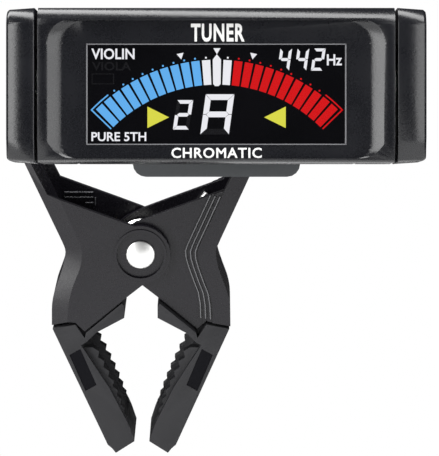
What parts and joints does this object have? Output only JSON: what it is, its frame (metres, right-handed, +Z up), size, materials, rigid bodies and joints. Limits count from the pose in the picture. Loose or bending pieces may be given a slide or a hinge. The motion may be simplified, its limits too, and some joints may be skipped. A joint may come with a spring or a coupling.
{
  "type": "clip on tuner",
  "caption": "Bar shaped tuner display that tilts in a yoke, on a swivel and a spring clip with toothed rubber jaws.",
  "frame": {"origin": "middle of the smooth gripping pad at the fixed jaw's tip", "axes": "+Z up, the display faces -Y, +X to the right seen from its front"},
  "size_m": [0.0741, 0.0593, 0.0807],
  "materials": {
    "case": "fine satin texture",
    "cap": "fine satin texture",
    "glass": "polished",
    "lcd": "smooth",
    "white": "satin",
    "board": "solder mask",
    "chip": "moulded",
    "steel": "bright",
    "brass": "bright",
    "clip": "satin",
    "rubber": "matte",
    "cell": "printed sleeve"
  },
  "bodies": {
    "fixed_jaw": {"fixed_lever": "clip", "fixed_jaw_boot": "rubber", "pivot_pin": "steel", "pin_ring": "steel", "torsion_spring": "steel", "swivel_washer": "white", "swivel_mount": "cap", "mount_screw_1": "steel", "mount_screw_2": "steel", "swivel_screw": "steel", "swivel_nut": "brass"},
    "moving_jaw": {"moving_lever": "clip", "moving_jaw_boot": "rubber"},
    "yoke": {"yoke_bracket": "cap", "left_end_cap": "cap", "right_end_cap": "cap"},
    "display": {"front_case": "case", "rear_case": "case", "display_window": "glass", "lcd_panel": "lcd", "lcd_frame": "white", "light_guide": "white", "circuit_board": "board", "processor_chip": "chip", "piezo_sensor": "brass", "button_board": "board", "mode_switch": "chip", "pitch_down_switch": "chip", "pitch_up_switch": "chip", "power_switch": "chip", "battery_cell": "cell", "contact_plate": "steel", "contact_spring": "steel", "case_screw_1": "steel", "case_screw_2": "steel", "case_screw_3": "steel", "case_screw_4": "steel", "left_pivot_nut": "brass", "right_pivot_nut": "brass", "left_pivot_washer": "white", "right_pivot_washer": "white", "left_pivot_screw": "steel", "right_pivot_screw": "steel"},
    "cover": {"battery_cover": "case"},
    "mode_key": {"mode_button": "case"},
    "pitch_down_key": {"pitch_down_button": "case"},
    "pitch_up_key": {"pitch_up_button": "case"},
    "power_key": {"power_button": "case"}
  },
  "joints": [
    {"name": "jaw_hinge", "type": "hinge", "parent": "fixed_jaw", "child": "moving_jaw", "pos_m": [-0.00185, -0.00842, 0.03377], "axis": [0, 0.9703, 0.2419], "range_deg": [0, 25], "stiffness_Nm_per_rad": 0.2, "springref_deg": -34.38, "deforming": ["torsion_spring"]},
    {"name": "yoke_swivel", "type": "hinge", "parent": "fixed_jaw", "child": "yoke", "pos_m": [0.01221, -0.02315, 0.05708], "axis": [0, 0.9703, 0.2419], "range_deg": [-90, 90]},
    {"name": "display_tilt", "type": "hinge", "parent": "yoke", "child": "display", "pos_m": [0.01221, -0.04211, 0.06163], "axis": [-1, 0, 0], "range_deg": [-20, 90]},
    {"name": "cover_slide", "type": "slide", "parent": "display", "child": "cover", "axis": [0, 0, -1], "range_m": [0, 0.006]},
    {"name": "mode_press", "type": "slide", "parent": "display", "child": "mode_key", "axis": [0, 0, -1], "range_m": [0, 0.0006], "stiffness_N_per_m": 300, "springref_m": -0.0005},
    {"name": "pitch_down_press", "type": "slide", "parent": "display", "child": "pitch_down_key", "axis": [0, 0, -1], "range_m": [0, 0.0006], "stiffness_N_per_m": 300, "springref_m": -0.0005},
    {"name": "pitch_up_press", "type": "slide", "parent": "display", "child": "pitch_up_key", "axis": [0, 0, -1], "range_m": [0, 0.0006], "stiffness_N_per_m": 300, "springref_m": -0.0005},
    {"name": "power_press", "type": "slide", "parent": "display", "child": "power_key", "axis": [0, 0, -1], "range_m": [0, 0.0006], "stiffness_N_per_m": 300, "springref_m": -0.0005}
  ]
}
